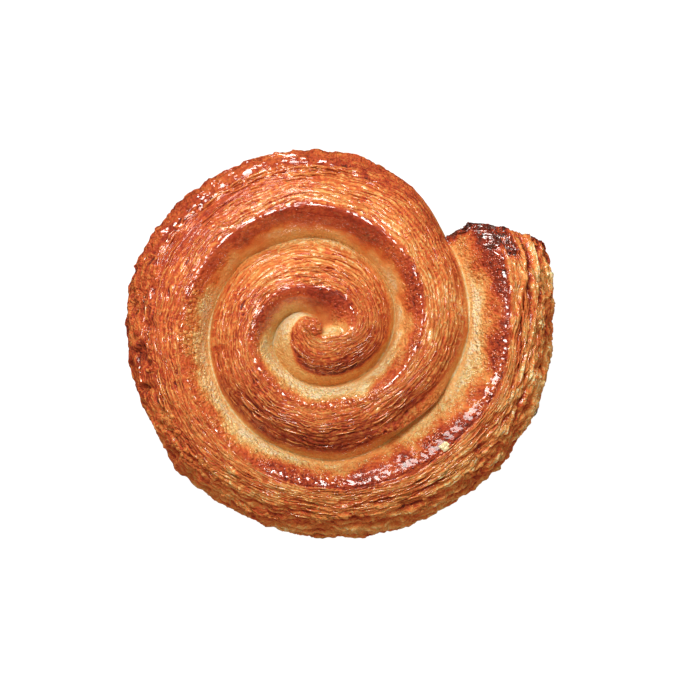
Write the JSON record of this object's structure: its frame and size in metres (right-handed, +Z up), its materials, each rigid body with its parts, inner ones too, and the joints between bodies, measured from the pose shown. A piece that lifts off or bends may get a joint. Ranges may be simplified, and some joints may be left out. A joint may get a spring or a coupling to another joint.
{
  "type": "kouign amann",
  "caption": "Round spiral pastry of wound laminated dough with a blunt free end, a deep spiral groove, flaky leaves and a flat base, for serving as food.",
  "frame": {"origin": "winding axis of the spiral on the flat base", "axes": "+Z up from the base, +X towards the free end's side, where the pastry is longest, +Y towards the back as the picture shows it"},
  "size_m": [0.1218, 0.1098, 0.0305],
  "materials": {
    "baked_crust": "baked laminated dough, golden to red-brown with pale groove and glossy caramelised sugar on the crests"
  },
  "bodies": {
    "root": {"laminated_swirl": "baked_crust"}
  },
  "joints": []
}
